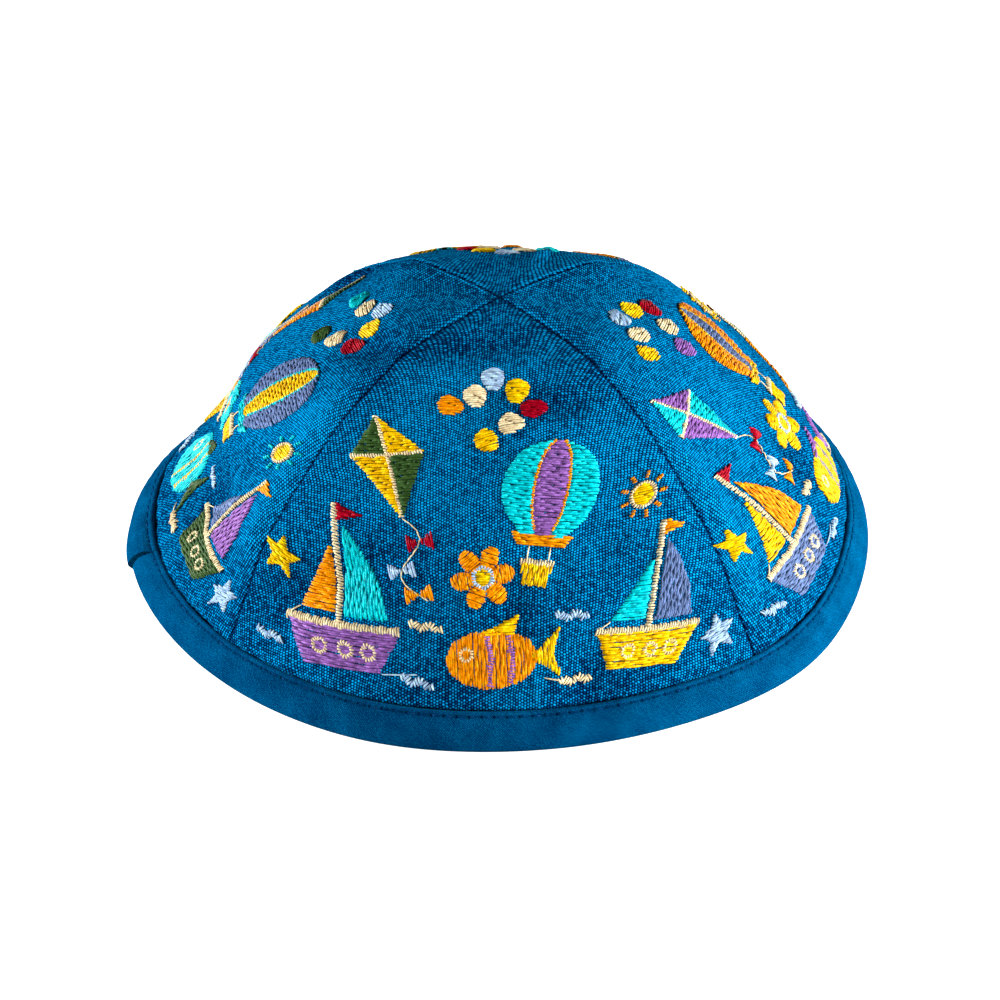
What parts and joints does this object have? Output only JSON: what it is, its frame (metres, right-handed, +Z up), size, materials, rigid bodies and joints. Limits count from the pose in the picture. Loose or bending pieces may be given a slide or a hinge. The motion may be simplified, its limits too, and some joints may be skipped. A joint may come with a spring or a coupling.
{
  "type": "embroidered kippah",
  "caption": "Round domed skullcap of woven cloth, sewn from triangular gores that meet at the top, with a folded tape bound round its lower edge, embroidered all over.",
  "frame": {"origin": "on the surface that the cap rests on, under the middle of its bounds", "axes": "+Z up through the top of the cap, -Y out of the front panel, +X out of the right panel"},
  "size_m": [0.1648, 0.1642, 0.0603],
  "materials": {
    "blue_cloth": "rib-woven, dull sheen",
    "blue_tape": "fine twill, soft sheen"
  },
  "bodies": {
    "root": {"panel_front": "blue_cloth", "panel_right": "blue_cloth", "panel_back": "blue_cloth", "panel_left": "blue_cloth", "binding": "blue_tape"}
  },
  "joints": []
}
